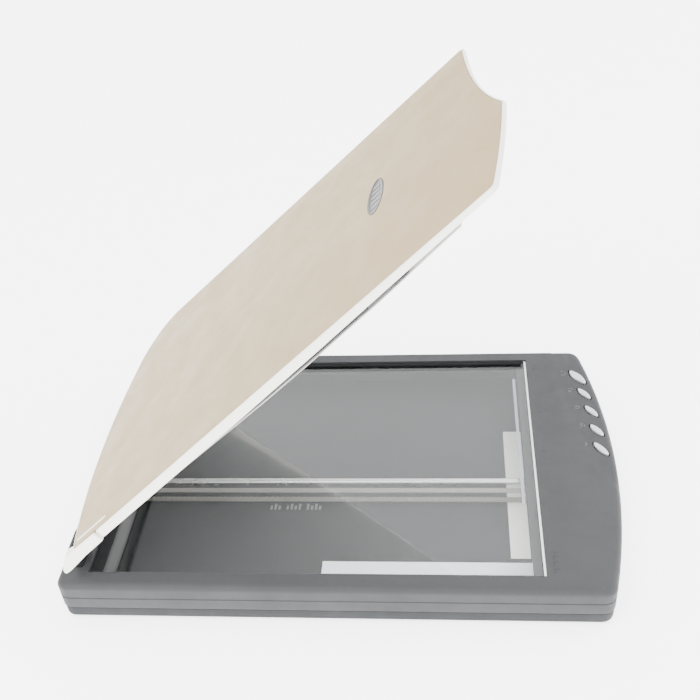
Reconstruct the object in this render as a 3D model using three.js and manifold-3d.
// Flatbed scanner, A4, slim contact-image-sensor type, lid propped open.
// Millimetres. +X runs from the hinge end to the button end, +Y away from a person
// sitting at the near long side, +Z up. The origin is on the table under the middle of the base.

import * as THREE from 'three';
import { mergeVertices } from 'three/addons/utils/BufferGeometryUtils.js';
import Module from 'manifold-3d';

const wasm = await Module();
wasm.setup();

// ---- driving dimensions ----
const BODY_LENGTH = 377;          // rear edge to the crown of the bowed front
const BODY_WIDTH = 255;
const TOP = 34;                   // height of the bezel's flat top
const FOOT = 2.7;                 // gap under the base
const SEAM = 12.6;                // height of the split between the two case halves
const SEAM_GAP = 0.8;
const WALL = 2.4;
const FRONT_RADIUS = 540;         // bow of the front edge, in plan
const CORNER = 8;

const REAR = -BODY_LENGTH / 2;
const HALF = BODY_WIDTH / 2;
const FLOOR = FOOT + 2;           // inside floor of the lower case

const GLASS_REAR = REAR + 20;     // recess for the glass
const GLASS_LENGTH = 300;
const GLASS_HALF = 114.3;
const GLASS_SINK = 3.5;           // glass top below the bezel's top
const GLASS_THICK = 2.8;
const GLASS_TOP = TOP - GLASS_SINK;
const GLASS_BOTTOM = GLASS_TOP - GLASS_THICK;
const LEDGE_FRONT = 8;            // rim that carries the glass
const LEDGE_SIDE = 5;
const LEDGE_THICK = 1.2;

const LID_OPEN = 42.2 * Math.PI / 180;
const PIVOT_X = GLASS_REAR - 7.4; // hinge axis, posts pulled up
const PIVOT_Z = TOP + 15.65;
const PIVOT_IN = 5;               // hinge axis ahead of the lid's rear edge
const PIVOT_DOWN = 6;             // hinge axis below the lid's top face
const LID_LENGTH = 384;
const LID_HALF_REAR = 124.5;
const LID_HALF_FRONT = 107;
const LID_REAR_RADIUS = 400;
const LID_SKIN = 1.6;
const LID_THICK = 6.9;            // at the hinge; the lid thins out towards its front edge
const POSTS = [['near', -102], ['far', 80]];
const POST_HALF = 8;              // half the width of a hinge post
const POST_THICK = 5;
const HINGE_RADIUS = 3.6;
const PIN_RADIUS = 1.5;
const PIN_HOLE = 1.8;

const ROD_Y = -9;
const ROD_Z = 14.5;
const ROD_RADIUS = 2.5;
const BELT_Y = -20.5;
const BELT_WIDTH = 4.4;
const BELT_THICK = 0.9;
const PULLEY_RADIUS = 4;
const PULLEY_Z = 12.2;
const DRIVE_X = GLASS_REAR + 2.3;
const IDLER_X = GLASS_REAR + 344;
const CARRIAGE_X = GLASS_REAR + 319;

const GAP = 0.3;

// ---- materials ----
const PAINT = {
  grey: [0x7c7e80, 0.5, 0], darkGrey: [0x4a4c4e, 0.6, 0], beige: [0xd4cbbe, 0.5, 0],
  ivory: [0xf1efe8, 0.45, 0], white: [0xf4f4f0, 0.5, 0],
  glass: [0xcfd8d6, 0.05, 0], foam: [0x151515, 0.95, 0], rubber: [0x1b1b1b, 0.85, 0],
  steel: [0xb9bcc0, 0.25, 1], silver: [0xd9dbdc, 0.35, 0.4], board: [0x1f5a35, 0.5, 0],
  ribbon: [0xe9eef4, 0.45, 0], cream: [0xdedccb, 0.6, 0], brass: [0xb99a5b, 0.3, 1],
  black: [0x1d1e20, 0.5, 0], acrylic: [0xe4eef0, 0.1, 0], badge: [0x8a8c8f, 0.4, 0.3],
};

const scanner = new THREE.Group();

function materialOf(name) {
  const [color, roughness, metalness] = PAINT[name];
  return new THREE.MeshStandardMaterial({ color, roughness, metalness });
}

function add(name, shape, paint, parent = scanner) {
  const geometry = shape.isBufferGeometry ? shape : geometryOf(shape);
  const mesh = new THREE.Mesh(geometry, materialOf(paint));
  mesh.name = name;
  parent.add(mesh);
  return mesh;
}

// ---- solids ----
function solid(geometry) {
  const bare = geometry.clone();
  bare.deleteAttribute('normal');
  bare.deleteAttribute('uv');
  const merged = mergeVertices(bare, 1e-4);
  return new wasm.Manifold(new wasm.Mesh({
    numProp: 3,
    vertProperties: new Float32Array(merged.attributes.position.array),
    triVerts: new Uint32Array(merged.index.array),
  }));
}

function geometryOf(manifold) {
  const mesh = manifold.getMesh();
  const geometry = new THREE.BufferGeometry();
  geometry.setAttribute('position', new THREE.BufferAttribute(mesh.vertProperties, 3));
  geometry.setIndex(new THREE.BufferAttribute(mesh.triVerts, 1));
  geometry.computeVertexNormals();
  return geometry;
}

// A box between two corners.
function box(x0, x1, y0, y1, z0, z1) {
  const geometry = new THREE.BoxGeometry(x1 - x0, y1 - y0, z1 - z0);
  geometry.translate((x0 + x1) / 2, (y0 + y1) / 2, (z0 + z1) / 2);
  return solid(geometry);
}

// A cylinder along 'x', 'y' or 'z', from one end to the other, around a centre line.
function rod(axis, from, to, a, b, radius, sides = 24, tip = radius) {
  const geometry = new THREE.CylinderGeometry(tip, radius, to - from, sides);
  const middle = (from + to) / 2;
  if (axis === 'x') geometry.rotateZ(-Math.PI / 2).translate(middle, a, b);
  if (axis === 'y') geometry.translate(a, middle, b);
  if (axis === 'z') geometry.rotateX(Math.PI / 2).translate(a, b, middle);
  return solid(geometry);
}

// A flat outline raised from z0 to z1, with its top or bottom edge rounded off.
function slab(shape, z0, z1, { round = 0, steps = 3, curve = 10 } = {}) {
  const geometry = new THREE.ExtrudeGeometry(shape, {
    depth: z1 - z0 - 2 * round, curveSegments: curve, bevelEnabled: round > 0,
    bevelThickness: round, bevelSize: round, bevelOffset: -round, bevelSegments: steps,
  });
  geometry.translate(0, 0, z0 + round);
  return solid(geometry);
}

// An outline drawn in side view, as [x, z] points, drawn out between two distances across.
function drawnAcross(points, y0, y1) {
  const shape = new THREE.Shape(points.map(([x, z]) => new THREE.Vector2(x, z)));
  return new THREE.ExtrudeGeometry(shape, { depth: y1 - y0, bevelEnabled: false })
    .rotateX(Math.PI / 2).translate(0, y1, 0);
}

function turned(profile, sides = 24) {
  const points = profile.map(([r, z]) => new THREE.Vector2(r, z));
  return new THREE.LatheGeometry(points, sides).rotateX(Math.PI / 2);
}

function rounded(x0, x1, y0, y1, r) {
  const shape = new THREE.Shape();
  shape.moveTo(x0 + r, y0).lineTo(x1 - r, y0);
  shape.absarc(x1 - r, y0 + r, r, -Math.PI / 2, 0, false);
  shape.absarc(x1 - r, y1 - r, r, 0, Math.PI / 2, false);
  shape.absarc(x0 + r, y1 - r, r, Math.PI / 2, Math.PI, false);
  shape.absarc(x0 + r, y0 + r, r, Math.PI, 1.5 * Math.PI, false);
  return shape;
}

function oval(length, width) {
  const shape = new THREE.Shape();
  shape.absellipse(0, 0, length / 2, width / 2, 0, 2 * Math.PI, false, 0);
  return shape;
}

// ---- base: the two case halves ----

const PANEL_UNDER = 28;           // underside of the skin under the front panel

// Plan of the base, drawn in by an inset: straight sides, a bowed front, rounded corners.
function basePlan(inset) {
  const half = HALF - inset;
  const rear = REAR + inset;
  const radius = FRONT_RADIUS - inset;
  const centre = BODY_LENGTH / 2 - FRONT_RADIUS;
  const corner = Math.max(CORNER - inset, 2);
  const angle = Math.asin((half - corner) / radius);
  const side = centre + Math.sqrt(radius * radius - half * half);
  const shape = new THREE.Shape();
  shape.moveTo(rear + corner, -half).lineTo(side - corner, -half);
  shape.quadraticCurveTo(side, -half, centre + radius * Math.cos(angle), -radius * Math.sin(angle));
  shape.absarc(centre, 0, radius, -angle, angle, false);
  shape.quadraticCurveTo(side, half, side - corner, half);
  shape.lineTo(rear + corner, half);
  shape.absarc(rear + corner, half - corner, corner, Math.PI / 2, Math.PI, false);
  shape.absarc(rear + corner, -half + corner, corner, Math.PI, 1.5 * Math.PI, false);
  return shape;
}

const BUTTONS = [
  { x: 338.9, y: 92.6, length: 19, width: 7 },
  { x: 342.0, y: 71.9, length: 14.6, width: 5.2 },
  { x: 345.2, y: 50.8, length: 14.6, width: 5.2 },
  { x: 346.8, y: 28.9, length: 14.6, width: 5.4 },
  { x: 347.5, y: 8.2, length: 15.8, width: 5.4 },
].map((b) => ({ ...b, x: GLASS_REAR + b.x }));
const BUTTON_TURN = -56 * Math.PI / 180;
const BUTTON_GAP = 1;
const SLOPE_START = BODY_LENGTH / 2 - 42;  // the front panel falls away from here
const SLOPE = 3.4 * Math.PI / 180;

const slopeTop = (x) => TOP - Math.max(0, x - SLOPE_START) * Math.tan(SLOPE);

function buttonShape(button, z0, z1, grow, round = 0) {
  const shape = oval(button.length + 2 * grow, button.width + 2 * grow);
  return slab(shape, z0, z1, { round, steps: 2, curve: 14 })
    .rotate([0, 0, BUTTON_TURN * 180 / Math.PI])
    .translate([button.x, button.y, 0]);
}

const SOCKETS = [
  { y: 30, half: 6.2, high: 24.4 },   // USB
  { y: 50, half: 4.8, high: 24 },     // power
];
const SOCKET_LOW = 13.1;

// A hinge post's cross-section, grown by a clearance, between two heights.
function postBox(y, grow, z0, z1) {
  const half = POST_THICK / 2 + grow;
  return box(PIVOT_X - half, PIVOT_X + half, y - POST_HALF - grow, y + POST_HALF + grow, z0, z1);
}

function upperCase() {
  let body = slab(basePlan(0), SEAM - 10, TOP, { round: 4, steps: 4, curve: 8 });
  body = body.intersect(box(-300, 300, -200, 200, SEAM + SEAM_GAP / 2, TOP + 1));
  const wedge = new THREE.BoxGeometry(120, 300, 20);
  wedge.translate(60, 0, 10).rotateY(SLOPE).translate(SLOPE_START, 0, TOP);
  body = body.subtract(solid(wedge));
  const hollow = slab(basePlan(WALL), 0, PANEL_UNDER, { curve: 6 });
  const ledgeUnder = GLASS_BOTTOM - GAP - LEDGE_THICK;
  body = body.subtract(hollow.intersect(box(-300, 300, -200, 200, 0, ledgeUnder)));
  const panelRoom = box(GLASS_REAR + GLASS_LENGTH + WALL, 300, -200, 200, 0, TOP);
  body = body.subtract(hollow.intersect(panelRoom));
  // Shadow groove round the sides.
  const groove = slab(basePlan(-3), TOP - 12, TOP - 10.6, { curve: 6 })
    .subtract(slab(basePlan(0.4), TOP - 13, TOP - 8, { curve: 6 }));
  body = body.subtract(groove);
  // Recess that the glass lies in, and the window under it.
  body = body.subtract(box(GLASS_REAR, GLASS_REAR + GLASS_LENGTH, -GLASS_HALF, GLASS_HALF,
    GLASS_BOTTOM - GAP, TOP + 5));
  body = body.subtract(box(GLASS_REAR + LEDGE_SIDE, GLASS_REAR + GLASS_LENGTH - LEDGE_FRONT,
    -GLASS_HALF + LEDGE_SIDE, GLASS_HALF - LEDGE_SIDE, 0, TOP + 5));
  for (const button of BUTTONS) {
    body = body.subtract(buttonShape(button, SEAM, TOP + 5, BUTTON_GAP));
  }
  for (const [, y] of POSTS) {
    body = body.subtract(postBox(y, 0.4, SEAM, TOP + 5));
  }
  for (const s of SOCKETS) {
    body = body.subtract(box(REAR - 5, REAR + 6, s.y - s.half, s.y + s.half, SEAM, s.high));
  }
  return body;
}

const SCREWS = [[-160, -118.5], [-160, 118.5], [150, -118], [150, 118]];

function lowerCase() {
  let body = slab(basePlan(0.6), FOOT, SEAM + 12, { round: 3, steps: 3, curve: 8 });
  body = body.intersect(box(-300, 300, -200, 200, 0, SEAM - SEAM_GAP / 2));
  body = body.subtract(slab(basePlan(0.6 + WALL), FLOOR, SEAM + 12, { curve: 6 }));
  for (const [x, y] of SCREWS) {
    body = body.add(rod('z', FLOOR - 0.5, SEAM - 1, x, y, 4.2, 16));
    body = body.subtract(rod('z', FOOT - 1, FOOT + 1.6, x, y, 3.6, 20));
    body = body.subtract(rod('z', FOOT, SEAM + 1, x, y, 1.7, 12));
  }
  for (const [x, y] of FEET) {
    body = body.subtract(rod('z', FOOT - 1, FOOT + 0.9, x, y, 7.3, 24));
  }
  return body;
}

const FEET = [[-160, -100], [-160, 100], [148, -92], [148, 92]];

function addCase() {
  add('lower_case', lowerCase(), 'grey');
  add('upper_case', upperCase(), 'grey');
  FEET.forEach(([x, y], i) => {
    const foot = turned([[0, 0], [6.2, 0], [6.8, 0.5], [7, FOOT + 0.6], [0, FOOT + 0.6]], 20);
    add(`foot_${i + 1}`, foot, 'rubber').position.set(x, y, 0);
  });
  SCREWS.forEach(([x, y], i) => {
    const profile = [[0, 0], [2.6, 0], [3.0, 0.4], [3.0, 1.0], [1.3, 1.2], [1.3, 8], [0, 8.6]];
    const screw = turned(profile, 14);
    add(`case_screw_${i + 1}`, screw, 'steel').position.set(x, y, FOOT + 0.3);
  });
}

// ---- glass and the strips along its edges ----
function addGlass() {
  const front = GLASS_REAR + GLASS_LENGTH;
  add('glass_plate', box(GLASS_REAR + GAP, front - GAP, -GLASS_HALF + GAP, GLASS_HALF - GAP,
    GLASS_BOTTOM, GLASS_TOP), 'glass');
  add('rear_seal', box(GLASS_REAR + GAP, GLASS_REAR + 8.5, -GLASS_HALF + GAP, GLASS_HALF - GAP,
    GLASS_TOP + GAP, GLASS_TOP + 1.4), 'foam');
  add('side_seal', box(GLASS_REAR + 8.8, front - 3.6, GLASS_HALF - 2.6, GLASS_HALF - GAP,
    GLASS_TOP + GAP, GLASS_TOP + 1.8), 'foam');
  add('front_guide_strip', box(front - 1.7, front - GAP, -GLASS_HALF + GAP, GLASS_HALF - GAP,
    GLASS_TOP + GAP, GLASS_TOP + 2.2), 'white');
}

// ---- buttons and their board ----
const BOARD_TOP = 21;

function addButtons() {
  BUTTONS.forEach((button, i) => {
    const top = slopeTop(button.x);
    const cap = buttonShape(button, top - 5.5, top + 1.5, 0, 0.9);
    const stem = rod('z', BOARD_TOP + 3.2, top - 4, button.x, button.y, 1.6, 12);
    add(`button_${i + 1}`, cap.add(stem), 'silver');
  });
  let board = slab(basePlan(WALL + 1), BOARD_TOP - 1.4, BOARD_TOP, { curve: 6 })
    .intersect(box(BUTTONS[0].x - 6, 200, -2, 104, 0, 40));
  for (const button of BUTTONS) {
    board = board.add(box(button.x - 3, button.x + 3, button.y - 3, button.y + 3,
      BOARD_TOP - 0.4, BOARD_TOP + 1.4));
  }
  add('button_board', board, 'board');
}

// ---- guide rod, belt and drive ----
function beltLoop() {
  const shape = new THREE.Shape();
  const hole = new THREE.Path();
  const loop = (path, radius) => {
    path.absarc(DRIVE_X, PULLEY_Z, radius, Math.PI / 2, 1.5 * Math.PI, false);
    path.absarc(IDLER_X, PULLEY_Z, radius, -Math.PI / 2, Math.PI / 2, false);
    path.closePath();
  };
  loop(shape, PULLEY_RADIUS + BELT_THICK);
  loop(hole, PULLEY_RADIUS);
  shape.holes.push(hole);
  return new THREE.ExtrudeGeometry(shape, {
    depth: BELT_WIDTH, bevelEnabled: false, curveSegments: 12,
  }).rotateX(Math.PI / 2).translate(0, BELT_Y + BELT_WIDTH / 2, 0);
}

// A spur gear along Y with square-cut teeth.
function gear(x, z, y0, y1, radius, teeth) {
  const shape = new THREE.Shape();
  const points = [];
  const root = radius - 0.7;
  const tip = radius + 0.5;
  for (let i = 0; i < teeth; i += 1) {
    for (const [part, r] of [[0, root], [0.2, tip], [0.5, tip], [0.7, root]]) {
      const a = (i + part) / teeth * 2 * Math.PI;
      points.push(new THREE.Vector2(r * Math.cos(a), r * Math.sin(a)));
    }
  }
  shape.setFromPoints(points);
  const geometry = new THREE.ExtrudeGeometry(shape, { depth: y1 - y0, bevelEnabled: false });
  return solid(geometry.rotateX(Math.PI / 2).translate(x, y1, z));
}

const MOTOR_X = DRIVE_X - 9.8;
const MOTOR_Z = 15;
const GEAR_RADIUS = 6.6;
const PINION_RADIUS = 2.4;

function addRail() {
  const rail = rod('x', GLASS_REAR - 13, GLASS_REAR + 348, ROD_Y, ROD_Z, ROD_RADIUS, 20);
  add('guide_rod', rail, 'steel');
  const ends = [
    ['rod_clip_rear', GLASS_REAR - 12, GLASS_REAR - 5],
    ['rod_clip_front', GLASS_REAR + 340, GLASS_REAR + 347],
  ];
  for (const [name, x0, x1] of ends) {
    const clip = box(x0, x1, ROD_Y - 5, ROD_Y + 5, FLOOR + GAP, ROD_Z + 4.2)
      .subtract(rod('x', x0 - 1, x1 + 1, ROD_Y, ROD_Z, ROD_RADIUS + GAP, 20));
    add(name, clip, 'black');
  }
  add('drive_belt', beltLoop(), 'cream');
}

const BELT_NEAR = BELT_Y - BELT_WIDTH / 2;  // edges of the belt
const BELT_FAR = BELT_Y + BELT_WIDTH / 2;
const GEAR_NEAR = BELT_NEAR - 4;
const AXLE = 1.2;
const AXLE_HOLE = 1.5;

// A belt wheel with its axle.
function beltWheel(x, axleNear, axleFar) {
  return rod('y', BELT_NEAR - 0.4, BELT_FAR + 0.4, x, PULLEY_Z, PULLEY_RADIUS - GAP, 20)
    .add(rod('y', axleNear, axleFar, x, PULLEY_Z, AXLE, 12));
}

function addDrive() {
  const wheel = beltWheel(DRIVE_X, BELT_NEAR - 6, BELT_FAR + 2)
    .add(gear(DRIVE_X, PULLEY_Z, GEAR_NEAR, BELT_NEAR - 0.3, GEAR_RADIUS, 24));
  add('drive_gear', wheel, 'white');
  const pinion = gear(MOTOR_X, MOTOR_Z, GEAR_NEAR, BELT_NEAR - 0.3, PINION_RADIUS, 9);
  add('motor_pinion', pinion, 'brass');
  const motor = rod('y', GEAR_NEAR - 18, GEAR_NEAR - 3, MOTOR_X, MOTOR_Z, 7, 24)
    .add(rod('y', GEAR_NEAR - 4, GEAR_NEAR - 2, MOTOR_X, MOTOR_Z, 2.5, 16))
    .add(rod('y', GEAR_NEAR - 3, GEAR_NEAR - GAP, MOTOR_X, MOTOR_Z, 0.8, 12));
  add('motor', motor, 'steel');
  const plate = box(MOTOR_X - 7, DRIVE_X + 4, GEAR_NEAR - 1.9, GEAR_NEAR - 0.7,
    FLOOR + GAP, MOTOR_Z + 7)
    .subtract(rod('y', GEAR_NEAR - 5, GEAR_NEAR, MOTOR_X, MOTOR_Z, AXLE, 12))
    .subtract(rod('y', GEAR_NEAR - 6.2, GEAR_NEAR - 1.2, MOTOR_X, MOTOR_Z, 2.9, 16))
    .subtract(rod('y', GEAR_NEAR - 5, GEAR_NEAR, DRIVE_X, PULLEY_Z, AXLE_HOLE, 12));
  add('motor_bracket', plate, 'steel');
}

function addIdler() {
  add('idler_pulley', beltWheel(IDLER_X, BELT_NEAR - 2.4, BELT_FAR + 2.4), 'white');
  const y0 = BELT_NEAR - 2.8;
  const y1 = BELT_FAR + 2.8;
  const bracket = box(IDLER_X - 3, IDLER_X + 5.8, y0, y1, FLOOR + GAP, PULLEY_Z + 3)
    .subtract(box(IDLER_X - 6, IDLER_X + 7, y0 + 1.6, y1 - 1.6, FLOOR + 1, PULLEY_Z + 5))
    .subtract(rod('y', y0 - 1, y1 + 1, IDLER_X, PULLEY_Z, AXLE_HOLE, 12));
  add('idler_bracket', bracket, 'black');
}

// ---- boards, sockets and ribbon cables ----
function addElectronics() {
  const boardTop = SOCKET_LOW - GAP;
  const board = box(REAR + 3.4, REAR + 30, 16, 66, boardTop - 1.4, boardTop)
    .add(box(REAR + 18, REAR + 27, 40, 49, boardTop - 0.2, boardTop + 1.1));
  add('main_board', board, 'board');
  const [usb, dc] = SOCKETS;
  const mouth = REAR + 0.6;
  const usbShell = box(mouth, REAR + 15, usb.y - 5.9, usb.y + 5.9, SOCKET_LOW, SOCKET_LOW + 10.9)
    .subtract(box(REAR - 1, REAR + 10, usb.y - 4.3, usb.y + 4.3,
      SOCKET_LOW + 1.5, SOCKET_LOW + 9.4));
  add('usb_socket', usbShell, 'steel');
  const bore = SOCKET_LOW + 5.5;
  const dcShell = box(mouth, REAR + 13, dc.y - 4.5, dc.y + 4.5, SOCKET_LOW, SOCKET_LOW + 10.6)
    .subtract(rod('x', REAR - 1, REAR + 10, dc.y, bore, 3.2, 20))
    .add(rod('x', REAR + 3, REAR + 11, dc.y, bore, 1.0, 12));
  add('dc_socket', dcShell, 'black');
  add('ribbon_long', box(GLASS_REAR + 151, GLASS_REAR + 296, -94, -79,
    FLOOR + GAP, FLOOR + 0.8), 'ribbon');
  add('ribbon_cross', box(GLASS_REAR + 280, GLASS_REAR + 293.5, -75, 57,
    FLOOR + GAP, FLOOR + 0.7), 'white');
}

// ---- carriage, parked under the front panel ----
const SENSOR_TOP = 25.8;          // passes under the rim that carries the glass
const SLIDER_Y = 106.7;

function addCarriage() {
  const c = CARRIAGE_X;
  let frame = box(c - 13, c + 13, -110, 110, 9.6, 18);
  for (const [y0, y1] of [[4, 52], [56, 106], [-106, -74], [-70, -34]]) {
    frame = frame.subtract(box(c - 10.5, c + 10.5, y0, y1, 11.2, 20));
  }
  frame = frame.subtract(box(c - 20, c + 20, BELT_NEAR - 1, BELT_FAR + 1,
    0, PULLEY_Z + 5.2));
  frame = frame.subtract(rod('x', c - 20, c + 20, ROD_Y, ROD_Z, 3.1, 20));
  add('carriage_frame', frame, 'black');
  let housing = box(c - 9.5, c + 9.5, -103, 103, 18.4, SENSOR_TOP);
  housing = housing.subtract(box(c - 7, c + 7, -100, 100, 21.6, 28));
  housing = housing.subtract(box(c - 7.5, c + 7.5, -104, 104, 18, 20.2));
  add('sensor_housing', housing, 'white');
  add('light_guide', box(c - 5.5, c - 2.5, -99, 99, 22, SENSOR_TOP - 0.8), 'acrylic');
  add('lens_array', box(c + 0.5, c + 3, -99, 99, 22, SENSOR_TOP - 0.4), 'black');
  add('sensor_board', box(c - 7, c + 7, -102, 102, 18.6, 19.8), 'board');
  for (const [name, side] of [['slider_near', -1], ['slider_far', 1]]) {
    const y = side * SLIDER_Y;
    const crown = rod('y', y - 2.8, y + 2.8, c, SENSOR_TOP - 6, 6, 24)
      .intersect(box(c - 6, c + 6, -120, 120, 20, 28));
    add(name, box(c - 6, c + 6, y - 2.8, y + 2.8, 18.4, SENSOR_TOP - 4).add(crown), 'ivory');
  }
  add('belt_clamp', box(c - 5, c + 5, BELT_NEAR - 0.6, BELT_FAR + 0.6,
    PULLEY_Z + 1.2, PULLEY_Z + PULLEY_RADIUS - 0.1), 'black');
}

// ---- hinge ----
function addHinge() {
  for (const [name, y] of POSTS) {
    const near = y - POST_HALF;
    const far = y + POST_HALF;
    const post = postBox(y, 0, 17.5, PIVOT_Z)
      .add(rod('y', near, far, PIVOT_X, PIVOT_Z, HINGE_RADIUS, 24))
      .subtract(rod('y', near - 1, far + 1, PIVOT_X, PIVOT_Z, PIN_HOLE, 16));
    add(`hinge_post_${name}`, post, 'darkGrey');
    const pin = rod('y', near - 5, far + 5, PIVOT_X, PIVOT_Z, PIN_RADIUS, 16);
    add(`hinge_pin_${name}`, pin, 'steel');
    const socket = postBox(y, 2, FLOOR + GAP, 25.9).subtract(postBox(y, 0.4, 0, 40));
    add(`hinge_socket_${name}`, socket, 'darkGrey');
  }
}

// ---- lid, in its own frame: x along the lid from the hinge axis, z up from it ----
const lid = new THREE.Group();

const lidHalf = (s) => LID_HALF_REAR + (LID_HALF_FRONT - LID_HALF_REAR) * s / LID_LENGTH;

// Plan of the lid, drawn in by an inset. s runs from the rear edge.
function lidPlan(inset) {
  const bow = (y, radius) => radius - Math.sqrt(radius * radius - y * y);
  const front = LID_LENGTH - inset;
  const rear = inset;
  const near = -lidHalf(LID_LENGTH - 11) + inset;
  const shape = new THREE.Shape();
  const at = (s, y) => [s - PIVOT_IN, y];
  const nearRear = -lidHalf(10) + inset;
  const farRear = lidHalf(40) - inset;
  shape.moveTo(...at(rear + bow(nearRear + 3, LID_REAR_RADIUS) + 3, nearRear));
  shape.lineTo(...at(front - bow(near, FRONT_RADIUS) - 3, near));
  shape.quadraticCurveTo(...at(front - bow(near, FRONT_RADIUS), near),
    ...at(front - bow(near + 4, FRONT_RADIUS), near + 4));
  for (let y = near + 14; y < -24; y += 14) {
    shape.lineTo(...at(front - bow(y, FRONT_RADIUS), y));
  }
  shape.lineTo(...at(front - 0.5, -23 - inset * 0.4));
  // Hollow that leaves the buttons uncovered.
  const tip = lidHalf(356) - inset;
  shape.bezierCurveTo(...at(371 - inset, 5 - inset), ...at(361 - inset, 45),
    ...at(357 - inset, tip - 2));
  shape.lineTo(...at(354 - inset, tip));
  shape.lineTo(...at(48, farRear));
  shape.bezierCurveTo(...at(30, farRear), ...at(rear + 17, 108),
    ...at(rear + bow(88, LID_REAR_RADIUS), 88));
  for (let y = 70; y > nearRear + 12; y -= 16) {
    shape.lineTo(...at(rear + bow(y, LID_REAR_RADIUS), y));
  }
  shape.lineTo(...at(rear + bow(nearRear + 3, LID_REAR_RADIUS), nearRear + 3));
  return shape;
}

const LID_TOP = PIVOT_DOWN;
const LID_UNDER = PIVOT_DOWN - LID_THICK;
const NOTCH_FRONT = 4.6;
const CAP_LENGTH = 44;
const CAP_WIDTH = 5;

const BADGE_AT = 285.3 - PIVOT_IN;
const BADGE_WIDTH = 12.6;
const BADGE_LENGTH = 43.2;
const BADGE_GAP = 0.4;
const PAD_HALF = 102.5;
const PAD_ROOF = LID_UNDER + 3;
// The document mat's face in side view: it bows down, and rises to meet the lid's front.
const MAT_LINE = [[27, -6.5], [127, -7.9], [190, -8], [220, -7.4], [277, -5.6], [346, -1.9]];
const MAT_THICK = 0.8;
const EAR_NEAR = 5.4;             // ears either side of a post
const EAR_FAR = 0.9;
const EAR_WIDE = 4.5;

// Room for the posts, and an ear on each side of each post to hold its pin.
function withHinges(body) {
  let made = body;
  for (const [, y] of POSTS) {
    made = made.subtract(box(-30, NOTCH_FRONT, y - POST_HALF - 0.6, y + POST_HALF + 0.6, -20, 20));
    for (const edge of [y - POST_HALF - EAR_NEAR, y + POST_HALF + EAR_FAR]) {
      made = made.add(rod('y', edge, edge + EAR_WIDE, 0, 0, HINGE_RADIUS, 24))
        .add(box(0, 14, edge, edge + EAR_WIDE, -HINGE_RADIUS, 1))
        .subtract(rod('y', edge - 1, edge + EAR_WIDE + 1, 0, 0, PIN_HOLE, 16));
    }
  }
  return made;
}

// Side view of the cap that closes the lid's near rear corner, over the hinge end.
const CAP_SIDE = [
  [12, LID_TOP], [CAP_LENGTH, LID_TOP], [CAP_LENGTH, LID_UNDER - 0.5], [24, LID_UNDER - 1.2],
  [4, -3.9], [0, -3.7], [-1.2, -2.5], [0.4, -0.1], [5, 2.7],
];

// Side-view points given by their distance from the lid's rear edge.
const fromRear = (points) => points.map(([along, z]) => [along - PIVOT_IN, z]);

function endCap() {
  const inner = -lidHalf(CAP_LENGTH) + CAP_WIDTH;
  return drawnAcross(fromRear(CAP_SIDE), -lidHalf(0), inner);
}

// The corner cut away from the lid's other pieces to make room for the cap.
function capRoom() {
  const inner = -lidHalf(CAP_LENGTH) + CAP_WIDTH + GAP;
  return box(-40, CAP_LENGTH - PIVOT_IN + GAP, -200, inner, -20, 20);
}

function lidCover() {
  let body = slab(lidPlan(0.6), LID_TOP - LID_SKIN - 3, LID_TOP,
    { round: 1.0, steps: 2, curve: 10 });
  body = body.intersect(box(-50, 500, -200, 200, LID_TOP - LID_SKIN, LID_TOP + 5));
  const shape = oval(BADGE_WIDTH + 2 * BADGE_GAP, BADGE_LENGTH + 2 * BADGE_GAP);
  const hollow = slab(shape, LID_TOP - 1, LID_TOP + 3, { curve: 20 });
  body = body.subtract(hollow.translate([BADGE_AT, 0, 0]));
  return body.subtract(capRoom());
}

// Underside of the lid in side view: it rises towards the front edge.
const UNDERSIDE = [[130, LID_UNDER], [245, LID_UNDER + 1.3], [LID_LENGTH + 10, LID_UNDER + 4.2]];

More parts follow.
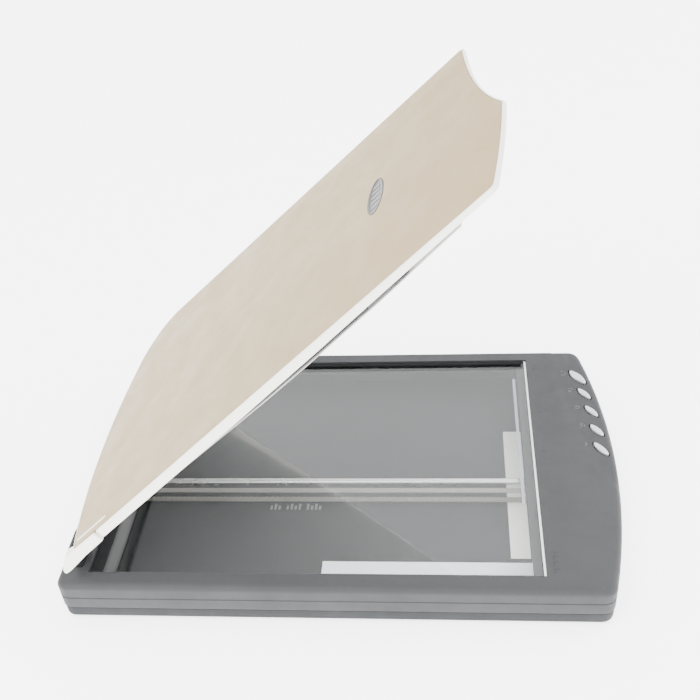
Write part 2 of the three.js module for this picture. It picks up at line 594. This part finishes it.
function lidFrame() {
  let body = slab(lidPlan(0), LID_UNDER, LID_TOP, { round: 1.2, steps: 2, curve: 10 });
  body = body.intersect(box(-50, 500, -200, 200, LID_UNDER - 1, LID_TOP - LID_SKIN - GAP));
  const below = [...UNDERSIDE, [LID_LENGTH + 10, LID_UNDER - 5], [130, LID_UNDER - 5]];
  body = body.subtract(solid(drawnAcross(fromRear(below), -200, 200)));
  const rear = 20 - PIVOT_IN;
  const front = 309 - PIVOT_IN;
  const inner = PAD_HALF + 0.4;
  body = body.subtract(box(rear, front, -inner, inner, LID_UNDER - 1, PAD_ROOF + GAP));
  const rim = box(rear - 1.2, front + 1.2, -inner - 1.2, inner + 1.2, LID_UNDER - 1.3, PAD_ROOF + 0.6)
    .subtract(box(rear, front, -inner, inner, LID_UNDER - 3, PAD_ROOF + GAP));
  return withHinges(body.add(rim)).subtract(capRoom());
}

function addLid() {
  lid.position.set(PIVOT_X, 0, PIVOT_Z);
  lid.rotation.y = -LID_OPEN;
  scanner.add(lid);
  add('lid_cover', lidCover(), 'beige', lid);
  add('lid_frame', lidFrame(), 'ivory', lid);
  add('lid_end_cap', endCap(), 'ivory', lid);
  const shape = oval(BADGE_WIDTH, BADGE_LENGTH);
  add('lid_badge', slab(shape, 0, 0.9, { round: 0.3, steps: 1, curve: 20 })
    .translate([BADGE_AT, 0, LID_TOP - 0.7]), 'badge', lid);
  const reversed = [...MAT_LINE].reverse();
  const sheet = [...MAT_LINE, ...reversed.map(([along, z]) => [along, z + MAT_THICK])];
  add('pad_sheet', drawnAcross(fromRear(sheet), -PAD_HALF, PAD_HALF), 'white', lid);
  const foamLine = MAT_LINE.filter(([along]) => along < 300);
  const foam = [...foamLine.map(([along, z]) => [along, z + MAT_THICK + GAP]),
    [foamLine[foamLine.length - 1][0], PAD_ROOF], [foamLine[0][0], PAD_ROOF]];
  const foamHalf = PAD_HALF - 5;
  add('pad_foam', drawnAcross(fromRear(foam), -foamHalf, foamHalf), 'darkGrey', lid);
}

addCase();
addGlass();
addButtons();
addRail();
addDrive();
addIdler();
addElectronics();
addCarriage();
addHinge();
addLid();

export default scanner;
